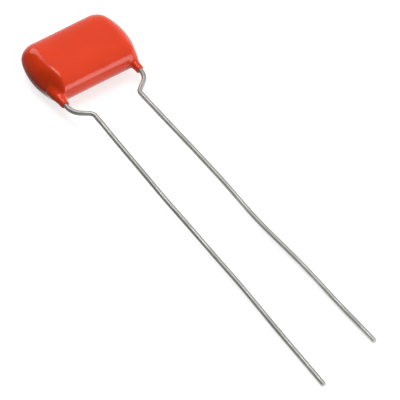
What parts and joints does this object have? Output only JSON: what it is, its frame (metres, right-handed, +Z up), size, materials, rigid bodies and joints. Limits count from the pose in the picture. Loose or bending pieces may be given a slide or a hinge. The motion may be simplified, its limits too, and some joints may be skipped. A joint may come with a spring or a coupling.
{
  "type": "polypropylene film capacitor",
  "caption": "Pillow-shaped orange-red dipped film capacitor with two long straight wire leads, kinked inwards below the body, lying flat.",
  "frame": {"origin": "middle of the coat's flat underside", "axes": "+X along the winding from the left lead to the right lead, the leads run towards -Y, +Z up through the thickness"},
  "size_m": [0.0128, 0.0595, 0.0046],
  "materials": {
    "coat": "glossy dipped epoxy",
    "film": "wound metallised film",
    "wrap": "clear film wrap",
    "spray": "matte sprayed metal",
    "wire": "tinned wire"
  },
  "bodies": {
    "root": {"epoxy_coat": "coat", "film_winding": "film", "outer_wrap": "wrap", "end_spray_left": "spray", "end_spray_right": "spray", "lead_left": "wire", "lead_right": "wire"}
  },
  "joints": []
}
